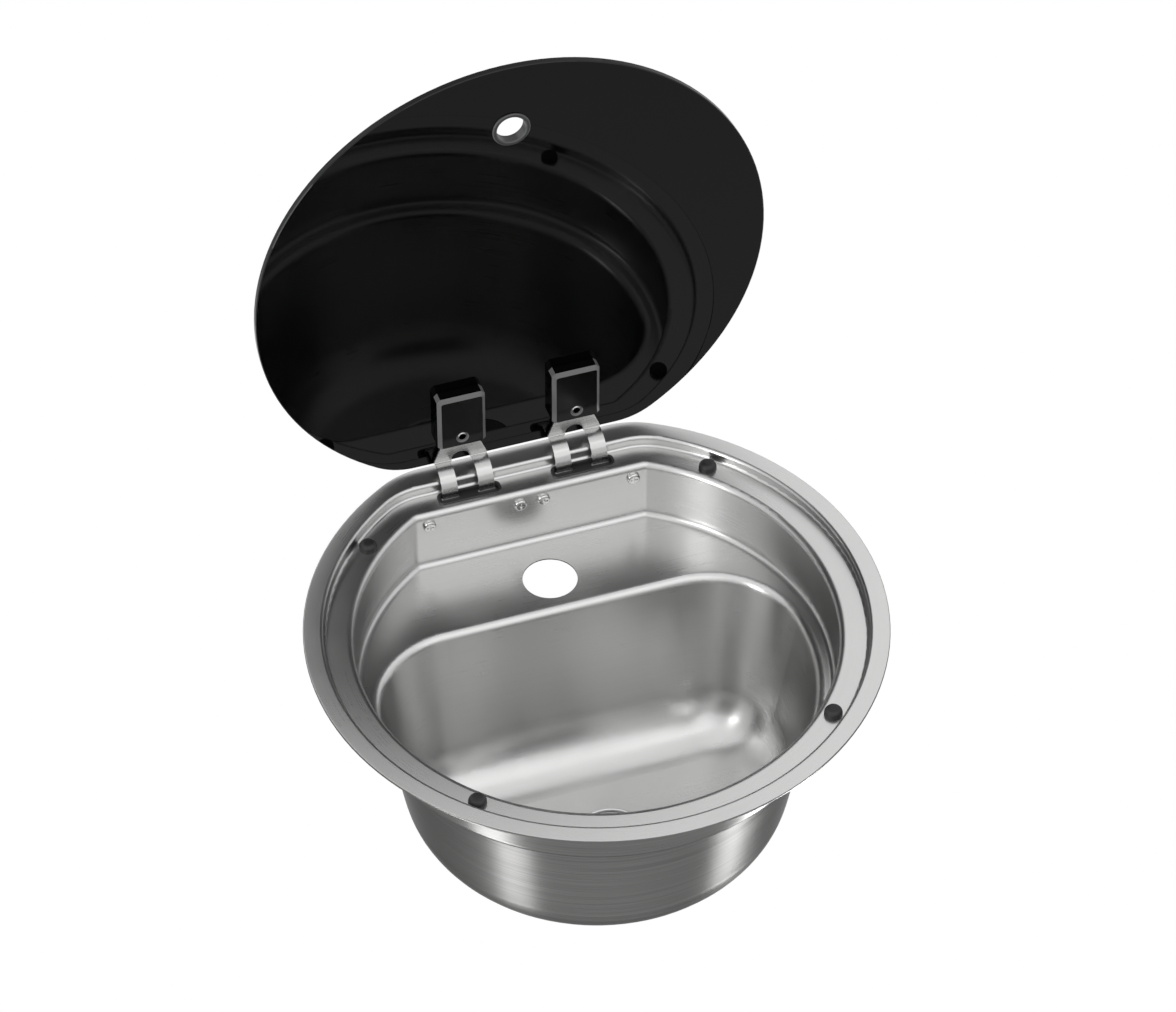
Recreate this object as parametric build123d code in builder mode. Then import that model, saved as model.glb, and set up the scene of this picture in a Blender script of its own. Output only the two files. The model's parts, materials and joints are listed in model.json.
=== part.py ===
from build123d import *
import math
import os

# RV sink with a hinged glass lid, standing open.
# The origin is the centre of the round rim, in the plane of the worktop.
# +X is right, +Y is back towards the hinges, +Z is up. All sizes are in millimetres.

# ---- driving dimensions ----

sheet = 0.8              # stainless sheet of the pressing

# upper basin; its flat back wall is as wide as the two hinges need
basin_depth = 56.6
basin_radius = 165.5
basin_corner = 6.0
basin_crest = 4.6
basin_valley = 5.0
wall_end = 9.0           # outer wall screw to the end of the flat back wall

# lid recess, one step down from the rim; its floor is as wide as bumpers and slots need
recess_depth = 8.2
recess_corner = 47.0
recess_crest = 2.6
recess_valley = 2.2

# rim: a flat band with a straight back and a rolled edge, lying on a thin seal
seal_height = 0.8
rim_band = 14.0
rim_back_band = 18.5
rim_corner = 60.0
rim_roll = 0.6           # how far the rolled edge comes down below the band
rim_edge_fillet = 0.7

# worktop cut-out that the sink drops into
worktop_overlap = 10.0   # rim on the worktop, round the front and sides
worktop_back_overlap = 2.7
cutout_corner = 50.0
seal_inset = 1.4

# lower bowl, D-shaped, tapered down to a flat floor
bowl_depth = 183.4
bowl_inset = 13.5        # round ledge between basin and bowl
back_ledge = 71.3        # deep ledge behind the bowl
bowl_corner = 66.0
bowl_taper_angle = 9.8
bowl_lip = 6.5
bowl_floor_fillet = 42.0

# drain recess in the bowl's floor, and its waste
drain_from_bowl_back = 104.5
drain_radius = 23.5
drain_depth = 3.0
drain_crest = 2.0
drain_hole_radius = 16.5
waste_flange_radius = 20.5
waste_flange_sheet = 1.0
waste_flange_edge = 0.6
waste_dish_radius = 15.6
waste_dish_depth = 4.0
waste_seal = 0.8
waste_dish_bend = 1.6
strainer_slots = 8
strainer_slot_width = 2.4
strainer_slot_start = 6.4
strainer_slot_end = 12.4
waste_screw_radius = 2.5
waste_screw_head_radius = 5.0
waste_screw_head = 2.0
waste_screw_slot = 1.4
spider_drop = 3.0        # dish to spider
spider_height = 6.0
spider_boss_radius = 5.0
spider_arms = 3
spider_arm = 2.6
waste_body_flange_radius = 21.5
waste_body_flange = 3.0
waste_cup_radius = 19.5
waste_cup_wall = 2.6
waste_cup_depth = 20.0
spigot_radius = 12.5     # takes a 25 mm hose
spigot_wall = 2.0
spigot_length = 28.0
spigot_barb = 0.7
spigot_barb_pitch = 5.0
spigot_barbs = 3

# tap hole in the ledge behind the bowl
tap_hole_from_wall = 40.2
tap_hole_radius = 19.5

# hinge pivots, hidden under the back of the rim
pivot_behind_recess = 9.0
pivot_below_rim = 7.2
pin_radius = 2.0
pin_clearance = 0.05
pin_head_radius = 3.4
pin_head = 1.2
pin_end = 1.8
pin_clip_radius = 4.6
pin_clip_thickness = 0.7

# hinge bases: plates behind the back wall with four ears each
base_plate = 2.0
base_height = 11.0
base_end_margin = 5.4    # plate beyond its end screw
base_drop = 1.3          # plate's top edge below the basin's crest
ear = 2.0
ear_gap = 1.0            # ear to arm eye
ear_radius = 5.0
ear_depth = 10.0         # ear below the pivot

# screws through the back wall into the bases
screw_from_ear = 11.4    # outer ear to the screw beside it
screw_middle = 17.0      # between the two screws nearest the middle of the wall
screw_from_base_top = 4.2
screw_radius = 1.75
screw_clearance = 0.1
screw_head_radius = 4.7
screw_head = 2.6
screw_head_fillet = 1.6
screw_cross = 5.4
screw_cross_width = 1.2
screw_cross_depth = 1.4
nut_flats = 7.0
nut_height = 3.2
screw_tail = 1.0

# hinge arms: bent plate with two goosenecks each
arm_plate = 1.8
goose_end_angle = 200.0  # degrees round the pivot where the gooseneck turns inwards
strap_width = 11.4
strap_gap = 15.4         # between the two goosenecks
plate_ahead_of_glass = 3.8
plate_bend = 1.0
flare_foot = 1.8         # flare's foot above the gooseneck's top
flare_height = 9.0
flare_top_half_width = 15.6
notch_radius = 6.8
blade_half_width = 13.0
blade_end_wall = 11.3    # blade's end to the holder's far end
eye_wall = 1.6
web = 2.0
bush_wall = 1.0
bush_fit = 0.03

# glass lid; its sizes are given as it lies closed, centred on the bowl
lid_gap = 3.8            # round edge to recess wall
lid_back_gap = 3.5
lid_corner = 48.0
glass = 5.0
glass_edge = 0.6
lid_below_rim = 2.0      # underside of the closed glass below the rim's top

# finger ring in the glass
ring_from_edge = 51.7    # ring's centre to the lid's front edge
ring_radius = 13.3
ring_hole_radius = 10.2
ring_flange = 1.5
ring_sleeve = 1.5
ring_fit = 0.2
ring_edge = 0.7

# glass holders, bonded under the glass
holder_from_lid_back = 20.0
holder_length = 47.3
holder_width = 35.0
holder_height = 9.9
holder_bevel = 2.6
bond = 0.5
bond_inset = 1.5
pocket_clearance = 0.15
grub_from_back = 9.7
grub_radius = 3.4
grub_fit = 0.05
grub_sunk = 0.6
grub_hex = 4.2
grub_hex_depth = 3.6
grub_rim = 1.2           # countersunk mouth round the grub screw

# rubber bumpers in the recess, under the closed lid
bumper_angle = 45.0
bumper_radius = 6.3
bumper_side_gap = 0.55   # to the bends on either side of the recess floor
bumper_dome = 4.4
bumper_gap = 0.3         # closed glass to bumper
bumper_stem_radius = 2.2
bumper_stem_clearance = 0.1
bumper_button_radius = 3.4
bumper_button = 2.0

# slot inserts: shallow trays that line the goosenecks' slots
slot_front_gap = 5.0     # slot's front edge to the gooseneck
slot_back_gap = 0.8
slot_end_gap = 2.1
slot_corner = 2.2
insert_wall = 1.0
insert_flange_overhang = 1.0
insert_flange = 1.0
insert_to_crest = 1.9    # insert's flange to the bend into the basin
insert_to_valley = 0.4   # insert's flange to the bend up to the rim
insert_clearance = 0.1
insert_barb = 0.5
insert_barb_height = 1.0
tray_floor = 1.2
strap_opening_gap = 0.6  # round each gooseneck where it passes the tray's floor
stop_gap = 0.3           # open arm's web to the insert's stop skirt

# ---- derived levels and places ----

rim_top = seal_height + sheet
recess_floor = rim_top - recess_depth
ledge = rim_top - basin_depth
bowl_floor = rim_top - bowl_depth
drain_floor = bowl_floor - drain_depth
base_top = recess_floor - basin_crest - base_drop
base_bottom = base_top - base_height
screw_z = base_top - screw_from_base_top

strap_inner = strap_gap / 2
strap_outer = strap_inner + strap_width
screw_from_hinge = strap_outer + ear_gap + ear + screw_from_ear
hinge_x = screw_from_hinge + screw_middle / 2

slot_length = 2 * (strap_outer + slot_end_gap)
slot_width = slot_front_gap + arm_plate + slot_back_gap
insert_length = slot_length + 2 * insert_wall
insert_width = slot_width + 2 * insert_wall
insert_corner = slot_corner + insert_wall
flange_width = insert_width + 2 * insert_flange_overhang

basin_back = math.sqrt(basin_radius ** 2 - (hinge_x + screw_from_hinge + wall_end) ** 2)
recess_radius = basin_radius + basin_crest + 2 * (bumper_radius + bumper_side_gap) + recess_valley
recess_back = basin_back + basin_crest + insert_to_crest + flange_width + insert_to_valley + recess_valley
rim_radius = recess_radius + rim_band
rim_back = recess_back + rim_back_band
cutout_radius = rim_radius - worktop_overlap
cutout_back = rim_back - worktop_back_overlap
bowl_radius = basin_radius - bowl_inset
bowl_back = basin_back - back_ledge
tap_hole_y = basin_back - tap_hole_from_wall
drain_y = bowl_back - drain_from_bowl_back
wall_back_y = basin_back + sheet
bumper_circle = recess_radius - recess_valley - bumper_side_gap - bumper_radius
slot_y = recess_back - recess_valley - insert_to_valley - flange_width / 2

pivot_y = recess_back + pivot_behind_recess
pivot_z = seal_height - pivot_below_rim
goose_radius = pivot_y - (slot_y - slot_width / 2 + slot_front_gap)
goose_top = pivot_z + goose_radius

closed_glass_z = rim_top - lid_below_rim
open_glass_y = pivot_y + closed_glass_z - pivot_z
open_centre_z = pivot_z + pivot_y
lid_radius = recess_radius - lid_gap
lid_back = recess_back - lid_back_gap
ring_y = ring_from_edge - lid_radius
holder_back = lid_back - holder_from_lid_back

bush_radius = pin_radius + pin_clearance + bush_wall
eye_radius = bush_radius + bush_fit + eye_wall
plate_front_y = open_glass_y - plate_ahead_of_glass

# The open lid's plane: x right, y towards the lid's straight back (down while it stands open),
# z from the glass's underside to its top. Lid pieces are drawn here as they lie when closed.
lid_plane = Plane(origin=(0, open_glass_y, open_centre_z), x_dir=(1, 0, 0), z_dir=(0, 1, 0))

# The back wall's plane inside the basin, x right, y up, z out of the wall towards the user.
wall_plane = Plane(origin=(0, basin_back, screw_z), x_dir=(1, 0, 0), z_dir=(0, -1, 0))

sides = {"left": -1, "right": 1}

os.makedirs("parts", exist_ok=True)


def write(piece, name):
    """Label a finished piece and write it as one STEP file."""
    piece.part.label = name
    export_step(piece.part, f"parts/{name}.step")


def flatted_disc(radius, back, corner):
    """A disc cut straight at y = back, with rounded corners."""
    with BuildSketch(mode=Mode.PRIVATE) as outline:
        Circle(radius)
        with Locations((0, back)):
            Rectangle(2 * radius, 2 * radius, align=(Align.CENTER, Align.MIN), mode=Mode.SUBTRACT)
        fillet(outline.vertices().group_by(Axis.Y)[-1], corner)
    return outline.sketch


def ring_face(form, z):
    """The ring-shaped flat face of a form at height z."""
    return form.faces().filter_by(Plane.XY).filter_by_position(Axis.Z, z - 0.01, z + 0.01)[0]


# ---- sink bowl: one pressing, the space outside the sheet less the space inside it ----

def pressed_form(skin, rim_under, rim_over):
    """The solid bounded by the sheet's inner face (skin 0) or its outer face (skin = sheet)."""
    slope = math.radians(bowl_taper_angle)
    bowl_skin = skin * (1 / math.cos(slope) - math.tan(slope))
    with BuildPart() as form:
        with BuildSketch(Plane.XY.offset(rim_under)):
            add(flatted_disc(rim_radius, rim_back, rim_corner))
        extrude(amount=rim_over - rim_under)
        with BuildSketch(Plane.XY.offset(recess_floor - skin)):
            add(flatted_disc(recess_radius + skin, recess_back + skin, recess_corner + skin))
        extrude(amount=rim_under - recess_floor + skin)
        with BuildSketch(Plane.XY.offset(ledge - skin)):
            add(flatted_disc(basin_radius + skin, basin_back + skin, basin_corner + skin))
        extrude(amount=recess_floor - ledge)
        with BuildSketch(Plane.XY.offset(ledge - skin)):
            add(flatted_disc(bowl_radius + bowl_skin, bowl_back + bowl_skin, bowl_corner + bowl_skin))
        extrude(amount=bowl_floor - ledge, taper=bowl_taper_angle)
        fillet(form.faces().sort_by(Axis.Z)[0].edges(), bowl_floor_fillet + skin)
        with BuildSketch(Plane.XY.offset(drain_floor - skin)):
            with Locations((0, drain_y)):
                Circle(drain_radius + skin)
        extrude(amount=drain_depth)
        fillet(ring_face(form, bowl_floor - skin).inner_wires().edges(), drain_crest - skin)
        fillet(ring_face(form, ledge - skin).outer_wire().edges(), basin_valley + skin)
        fillet(ring_face(form, ledge - skin).inner_wires().edges(), bowl_lip - skin)
        fillet(ring_face(form, recess_floor - skin).outer_wire().edges(), recess_valley + skin)
        fillet(ring_face(form, recess_floor - skin).inner_wires().edges(), basin_crest - skin)
        fillet(ring_face(form, rim_under).inner_wires().edges(), recess_crest - skin)
    return form.part


air = pressed_form(0, rim_top, rim_top + sheet)
metal = pressed_form(sheet, seal_height, rim_top)

bumper_places = PolarLocations(bumper_circle, 4, start_angle=bumper_angle, rotate=False)
slot_hole_length = insert_length + 2 * insert_clearance
slot_hole_width = insert_width + 2 * insert_clearance
slot_hole_corner = insert_corner + insert_clearance
screw_places = [(side * hinge_x + x, 0) for side in (-1, 1) for x in (-screw_from_hinge, screw_from_hinge)]

with BuildPart() as sink_bowl:
    add(metal)
    with BuildSketch(Plane.XY.offset(seal_height)):
        add(flatted_disc(rim_radius, rim_back, rim_corner))
        add(flatted_disc(rim_radius - sheet, rim_back - sheet, rim_corner - sheet), mode=Mode.SUBTRACT)
    extrude(amount=-rim_roll)
    fillet(sink_bowl.faces().sort_by(Axis.Z)[-1].outer_wire().edges(), rim_edge_fillet)
    add(air, mode=Mode.SUBTRACT)
    # slots for the goosenecks and holes for the bumpers' stems, through the recess floor
    with BuildSketch(Plane.XY.offset(recess_floor + sheet)):
        with Locations((-hinge_x, slot_y), (hinge_x, slot_y)):
            RectangleRounded(slot_hole_length, slot_hole_width, slot_hole_corner)
        with bumper_places:
            Circle(bumper_stem_radius + bumper_stem_clearance)
    extrude(amount=-3 * sheet, mode=Mode.SUBTRACT)
    # tap hole and drain hole
    with BuildSketch(Plane.XY.offset(ledge + sheet)):
        with Locations((0, tap_hole_y)):
            Circle(tap_hole_radius)
    extrude(amount=-3 * sheet, mode=Mode.SUBTRACT)
    with BuildSketch(Plane.XY.offset(drain_floor + sheet)):
        with Locations((0, drain_y)):
            Circle(drain_hole_radius)
    extrude(amount=-3 * sheet, mode=Mode.SUBTRACT)
    # screw holes in the back wall
    with BuildSketch(wall_plane.offset(sheet)):
        with Locations(*screw_places):
            Circle(screw_radius + screw_clearance)
    extrude(amount=-3 * sheet, mode=Mode.SUBTRACT)
write(sink_bowl, "sink_bowl")

# ---- rim seal, squeezed between the rim and the worktop ----

with BuildPart() as rim_seal:
    with BuildSketch():
        add(flatted_disc(rim_radius - seal_inset, rim_back - seal_inset, rim_corner - seal_inset))
        add(flatted_disc(cutout_radius, cutout_back, cutout_corner), mode=Mode.SUBTRACT)
    extrude(amount=seal_height)
write(rim_seal, "rim_seal")

# ---- lid bumpers: domed rubber buttons, each with a stem pushed through the recess floor ----

bumper_height = closed_glass_z - bumper_gap - recess_floor
for place, (end, side) in zip(bumper_places.locations, (("back", "right"), ("back", "left"),
                                                       ("front", "left"), ("front", "right"))):
    with BuildPart() as bumper:
        with BuildSketch(Plane.XY.offset(recess_floor)):
            with Locations(place.position):
                Circle(bumper_radius)
        extrude(amount=bumper_height)
        fillet(bumper.faces().sort_by(Axis.Z)[-1].edges(), bumper_dome)
        with BuildSketch(Plane.XY.offset(recess_floor)):
            with Locations(place.position):
                Circle(bumper_stem_radius)
        extrude(amount=-sheet)
        with BuildSketch(Plane.XY.offset(recess_floor - sheet)):
            with Locations(place.position):
                Circle(bumper_button_radius)
        extrude(amount=-bumper_button, taper=20)
    write(bumper, f"lid_bumper_{end}_{side}")

# ---- slot inserts: flanged trays, snapped in, open where the goosenecks pass through the floor;
# their back skirts stop the open arms ----

web_angle = math.radians(goose_end_angle - 180)
skirt_back_y = slot_y + insert_width / 2
web_top_at_skirt = pivot_z - (pivot_y - skirt_back_y) * math.tan(web_angle) + web / 2 / math.cos(web_angle)
skirt_bottom = web_top_at_skirt + stop_gap
tray_top = skirt_bottom + tray_floor
barb_top = recess_floor - sheet - insert_clearance
slot_back_y = slot_y + slot_width / 2
strap_opening_depth = slot_back_gap + arm_plate + strap_opening_gap
strap_centre = strap_inner + strap_width / 2

for name, side in sides.items():
    with BuildPart() as slot_insert:
        with BuildSketch(Plane.XY.offset(recess_floor)):
            with Locations((side * hinge_x, slot_y)):
                RectangleRounded(insert_length + 2 * insert_flange_overhang,
                                 insert_width + 2 * insert_flange_overhang,
                                 insert_corner + insert_flange_overhang)
        extrude(amount=insert_flange)
        fillet(slot_insert.faces().sort_by(Axis.Z)[-1].edges(), insert_flange / 2)
        with BuildSketch(Plane.XY.offset(recess_floor)):
            with Locations((side * hinge_x, slot_y)):
                RectangleRounded(insert_length, insert_width, insert_corner)
        extrude(amount=skirt_bottom - recess_floor)
        # barbs along the front, under the sheet
        with BuildSketch(Plane.XY.offset(barb_top)):
            with Locations((side * hinge_x, slot_y - insert_width / 2)):
                Rectangle(slot_length / 2, 2 * (insert_barb + insert_clearance))
        extrude(amount=-insert_barb_height, taper=20)
        with BuildSketch(Plane.XY.offset(recess_floor + insert_flange)):
            with Locations((side * hinge_x, slot_y)):
                RectangleRounded(slot_length, slot_width, slot_corner)
        extrude(amount=tray_top - recess_floor - insert_flange, mode=Mode.SUBTRACT)
        with BuildSketch(Plane.XY.offset(tray_top)):
            with Locations(*[(side * hinge_x + x, slot_back_y) for x in (-strap_centre, strap_centre)]):
                Rectangle(strap_width + 2 * strap_opening_gap, strap_opening_depth,
                          align=(Align.CENTER, Align.MAX))
        extrude(amount=-tray_floor, mode=Mode.SUBTRACT)
    write(slot_insert, f"slot_insert_{name}")

# ---- hinge bases: bent plates with four ears, behind the basin's back wall ----

ear_starts = (-strap_outer - ear_gap - ear, -strap_inner + ear_gap,
              strap_inner - ear_gap - ear, strap_outer + ear_gap)

for name, side in sides.items():
    with BuildPart() as hinge_base:
        with BuildSketch(Plane.XZ.offset(-wall_back_y)):
            with Locations((side * hinge_x, (base_top + base_bottom) / 2)):
                RectangleRounded(2 * (screw_from_hinge + base_end_margin), base_height, 2 * base_plate)
            with Locations(*[(side * hinge_x + x, screw_z) for x in (-screw_from_hinge, screw_from_hinge)]):
                Circle(screw_radius + screw_clearance, mode=Mode.SUBTRACT)
        extrude(amount=-base_plate)
        for start in ear_starts:
            with BuildSketch(Plane.YZ.offset(side * hinge_x + start)):
                with BuildLine():
                    Polyline((wall_back_y, base_top),
                             (pivot_y - ear_radius, base_top),
                             (pivot_y - ear_radius, pivot_z),
                             (pivot_y + ear_radius, pivot_z),
                             (pivot_y + ear_radius, pivot_z - ear_depth),
                             (wall_back_y + 2 * base_plate, base_bottom),
                             (wall_back_y, base_bottom),
                             close=True)
                make_face()
                with Locations((pivot_y, pivot_z)):
                    Circle(ear_radius)
                    Circle(pin_radius + pin_clearance, mode=Mode.SUBTRACT)
            extrude(amount=ear)
    write(hinge_base, f"hinge_base_{name}")

# ---- wall screws and their nuts ----

grip = sheet + base_plate

with BuildPart() as wall_screws:
    with BuildSketch(wall_plane):
        with Locations(*screw_places):
            Circle(screw_head_radius)
    extrude(amount=screw_head)
    fillet(wall_screws.faces().group_by(Axis.Y)[0].edges(), screw_head_fillet)
    with BuildSketch(wall_plane.offset(screw_head)):
        with Locations(*screw_places):
            Rectangle(screw_cross, screw_cross_width)
            Rectangle(screw_cross_width, screw_cross)
    extrude(amount=-screw_cross_depth, mode=Mode.SUBTRACT)
    with BuildSketch(wall_plane):
        with Locations(*screw_places):
            Circle(screw_radius)
    extrude(amount=-(grip + nut_height + screw_tail))
write(wall_screws, "wall_screws")

with BuildPart() as wall_nuts:
    with BuildSketch(wall_plane.offset(-grip)):
        with Locations(*screw_places):
            RegularPolygon(nut_flats / 2, 6, major_radius=False)
            Circle(screw_radius + pin_clearance, mode=Mode.SUBTRACT)
    extrude(amount=-nut_height)
write(wall_nuts, "wall_nuts")

# ---- hinge pins and their push-on clips ----

pin_half = strap_outer + ear_gap + ear
for name, side in sides.items():
    with BuildPart() as hinge_pin:
        with BuildSketch(Plane.YZ.offset(side * hinge_x - pin_half)):
            with Locations((pivot_y, pivot_z)):
                Circle(pin_radius)
        extrude(amount=2 * pin_half + pin_end)
        with BuildSketch(Plane.YZ.offset(side * hinge_x - pin_half)):
            with Locations((pivot_y, pivot_z)):
                Circle(pin_head_radius)
        extrude(amount=-pin_head)
        fillet(hinge_pin.faces().sort_by(Axis.X)[0].edges(), pin_head / 2)
    write(hinge_pin, f"hinge_pin_{name}")

    with BuildPart() as pin_clip:
        with BuildSketch(Plane.YZ.offset(side * hinge_x + pin_half)):
            with Locations((pivot_y, pivot_z)):
                Circle(pin_clip_radius)
                Circle(pin_radius, mode=Mode.SUBTRACT)
        extrude(amount=pin_clip_thickness)
    write(pin_clip, f"pin_clip_{name}")

# ---- hinge arms: blade, flared plate, and two goosenecks ending in eyes on the pin ----

holder_open_z = open_centre_z - holder_back
blade_height = holder_length - blade_end_wall
blade_top = holder_open_z + blade_height
flare_foot_z = goose_top + flare_foot
flare_top_z = flare_foot_z + flare_height

for name, side in sides.items():
    with BuildPart() as hinge_arm:
        # side profile of the bent plate, across its whole width
        with BuildSketch(Plane.YZ.offset(side * hinge_x - strap_outer)):
            with BuildLine():
                FilletPolyline((plate_front_y, blade_top),
                               (plate_front_y, goose_top),
                               (pivot_y, goose_top),
                               radius=plate_bend)
                CenterArc((pivot_y, pivot_z), goose_radius, 90, goose_end_angle - 90)
                offset(amount=arm_plate, side=Side.LEFT, closed=True)
            make_face()
        extrude(amount=2 * strap_outer)
        # front view: full width at the goosenecks, flared in to the blade
        with BuildSketch(Plane.XZ) as front_view:
            with BuildLine():
                Polyline((side * hinge_x + blade_half_width, blade_top),
                         (side * hinge_x + blade_half_width, holder_open_z),
                         (side * hinge_x + flare_top_half_width, flare_top_z),
                         (side * hinge_x + strap_outer, flare_foot_z),
                         (side * hinge_x + strap_outer, pivot_z - 2 * goose_radius),
                         (side * hinge_x - strap_outer, pivot_z - 2 * goose_radius),
                         (side * hinge_x - strap_outer, flare_foot_z),
                         (side * hinge_x - flare_top_half_width, flare_top_z),
                         (side * hinge_x - blade_half_width, holder_open_z),
                         (side * hinge_x - blade_half_width, blade_top),
                         close=True)
            make_face()
            with Locations((side * hinge_x, goose_top)):
                Circle(notch_radius, mode=Mode.SUBTRACT)
                Rectangle(strap_gap, 4 * goose_radius, align=(Align.CENTER, Align.MAX), mode=Mode.SUBTRACT)
        extrude(amount=-(plate_front_y + goose_radius), mode=Mode.INTERSECT)
        # webs and eyes
        for start in (-strap_outer, strap_inner):
            with BuildSketch(Plane.YZ.offset(side * hinge_x + start)):
                with Locations((pivot_y, pivot_z)):
                    Rectangle(goose_radius - arm_plate / 2, web, rotation=goose_end_angle,
                              align=(Align.MIN, Align.CENTER))
                    Circle(eye_radius)
                    Circle(bush_radius + bush_fit, mode=Mode.SUBTRACT)
            extrude(amount=strap_width)
    write(hinge_arm, f"hinge_arm_{name}")

    with BuildPart() as arm_bushes:
        for start in (-strap_outer, strap_inner):
            with BuildSketch(Plane.YZ.offset(side * hinge_x + start)):
                with Locations((pivot_y, pivot_z)):
                    Circle(bush_radius)
                    Circle(pin_radius + pin_clearance, mode=Mode.SUBTRACT)
            extrude(amount=strap_width)
    write(arm_bushes, f"arm_bushes_{name}")

# ---- glass lid with its finger hole ----

with BuildPart() as lid_glass:
    with BuildSketch(lid_plane):
        add(flatted_disc(lid_radius, lid_back, lid_corner))
        with Locations((0, ring_y)):
            Circle(ring_hole_radius + ring_sleeve + ring_fit, mode=Mode.SUBTRACT)
    extrude(amount=glass)
    glass_faces = lid_glass.faces().filter_by(Plane.XZ)
    chamfer([edge for face in glass_faces for edge in face.outer_wire().edges()], glass_edge)
write(lid_glass, "lid_glass")

# ---- finger ring: a flanged sleeve under the glass and a cap on top ----

with BuildPart() as finger_ring:
    with BuildSketch(lid_plane):
        with Locations((0, ring_y)):
            Circle(ring_radius)
            Circle(ring_hole_radius, mode=Mode.SUBTRACT)
    extrude(amount=-ring_flange)
    chamfer(finger_ring.faces().sort_by(Axis.Y)[0].edges(), ring_edge)
    with BuildSketch(lid_plane):
        with Locations((0, ring_y)):
            Circle(ring_hole_radius + ring_sleeve)
            Circle(ring_hole_radius, mode=Mode.SUBTRACT)
    extrude(amount=glass - ring_fit)
write(finger_ring, "finger_ring")

with BuildPart() as finger_ring_cap:
    with BuildSketch(lid_plane.offset(glass)):
        with Locations((0, ring_y)):
            Circle(ring_radius)
            Circle(ring_hole_radius, mode=Mode.SUBTRACT)
    extrude(amount=ring_flange)
    chamfer(finger_ring_cap.faces().sort_by(Axis.Y)[-1].edges(), ring_edge)
write(finger_ring_cap, "finger_ring_cap")

# ---- glass holders, bond pads and grub screws ----

plate_from_glass = open_glass_y - plate_front_y
holder_centre_y = holder_back - holder_length / 2
grub_y = holder_back - grub_from_back

for name, side in sides.items():
    with BuildPart() as glass_holder:
        with BuildSketch(lid_plane.offset(-bond)):
            with Locations((side * hinge_x, holder_centre_y)):
                Rectangle(holder_width, holder_length)
        extrude(amount=-holder_height)
        chamfer(glass_holder.edges().filter_by(Axis.Y), holder_bevel)
        chamfer(glass_holder.faces().sort_by(Axis.Y)[0].edges(), holder_bevel)
        # pocket for the arm's blade, open at the back end
        with BuildSketch(Plane.XY.offset(holder_open_z)):
            with Locations((side * hinge_x, plate_front_y + arm_plate / 2)):
                Rectangle(2 * (blade_half_width + pocket_clearance), arm_plate + 2 * pocket_clearance)
        extrude(amount=blade_height + pocket_clearance, mode=Mode.SUBTRACT)
        # grub screw hole with a countersunk mouth
        with BuildSketch(lid_plane.offset(-plate_from_glass)):
            with Locations((side * hinge_x, grub_y)):
                Circle(grub_radius + grub_fit)
        extrude(amount=-holder_height, mode=Mode.SUBTRACT)
        mouth = glass_holder.faces().sort_by(Axis.Y)[0].inner_wires().edges()
        chamfer(mouth, grub_rim)
    write(glass_holder, f"glass_holder_{name}")

    with BuildPart() as holder_bond:
        with BuildSketch(lid_plane):
            with Locations((side * hinge_x, holder_centre_y)):
                Rectangle(holder_width - 2 * bond_inset, holder_length - 2 * bond_inset)
        extrude(amount=-bond)
    write(holder_bond, f"holder_bond_{name}")

    grub_length = holder_height + bond - plate_from_glass - grub_sunk
    with BuildPart() as grub_screw:
        with BuildSketch(lid_plane.offset(-plate_from_glass)):
            with Locations((side * hinge_x, grub_y)):
                Circle(grub_radius)
        extrude(amount=-grub_length)
        chamfer(grub_screw.faces().sort_by(Axis.Y)[0].edges(), grub_sunk)
        with BuildSketch(lid_plane.offset(-plate_from_glass - grub_length)):
            with Locations((side * hinge_x, grub_y)):
                RegularPolygon(grub_hex / 2, 6, major_radius=False)
        extrude(amount=grub_hex_depth, mode=Mode.SUBTRACT)
    write(grub_screw, f"grub_screw_{name}")

# ---- waste: dished flange, centre screw, seals and body with a hose spigot ----

waste_axis = Axis((0, drain_y, 0), (0, 0, 1))
# Profiles of the turned waste pieces: x is the radius, y the height over the drain recess's floor.
drain_plane = Plane(origin=(0, drain_y, drain_floor), x_dir=(1, 0, 0), z_dir=(0, -1, 0))
flange_top = waste_seal + waste_flange_sheet
dish_floor = flange_top - waste_dish_depth
dish_inner = waste_dish_radius - waste_flange_sheet

with BuildPart() as waste_flange:
    with BuildSketch(drain_plane) as profile:
        with BuildLine():
            Polyline((0, dish_floor),
                     (dish_inner, dish_floor),
                     (dish_inner, flange_top),
                     (waste_flange_radius, flange_top),
                     (waste_flange_radius, waste_seal),
                     (waste_dish_radius, waste_seal),
                     (waste_dish_radius, dish_floor - waste_flange_sheet),
                     (0, dish_floor - waste_flange_sheet),
                     close=True)
        make_face()
        fillet(profile.vertices().sort_by_distance((dish_inner, flange_top))[0], waste_dish_bend)
        fillet(profile.vertices().sort_by_distance((dish_inner, dish_floor))[0], waste_dish_bend)
        fillet(profile.vertices().sort_by_distance((waste_flange_radius, flange_top))[0], waste_flange_edge)
    revolve(axis=waste_axis)
    # strainer slots and the screw's hole
    with BuildSketch(Plane.XY.offset(drain_floor + dish_floor)):
        with Locations((0, drain_y)):
            with PolarLocations((strainer_slot_start + strainer_slot_end) / 2, strainer_slots):
                SlotOverall(strainer_slot_end - strainer_slot_start, strainer_slot_width)
            Circle(waste_screw_radius + screw_clearance)
    extrude(amount=-2 * waste_flange_sheet, mode=Mode.SUBTRACT)
write(waste_flange, "waste_flange")

dish_under = drain_floor + dish_floor - waste_flange_sheet
spider_top = dish_under - spider_drop

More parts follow.
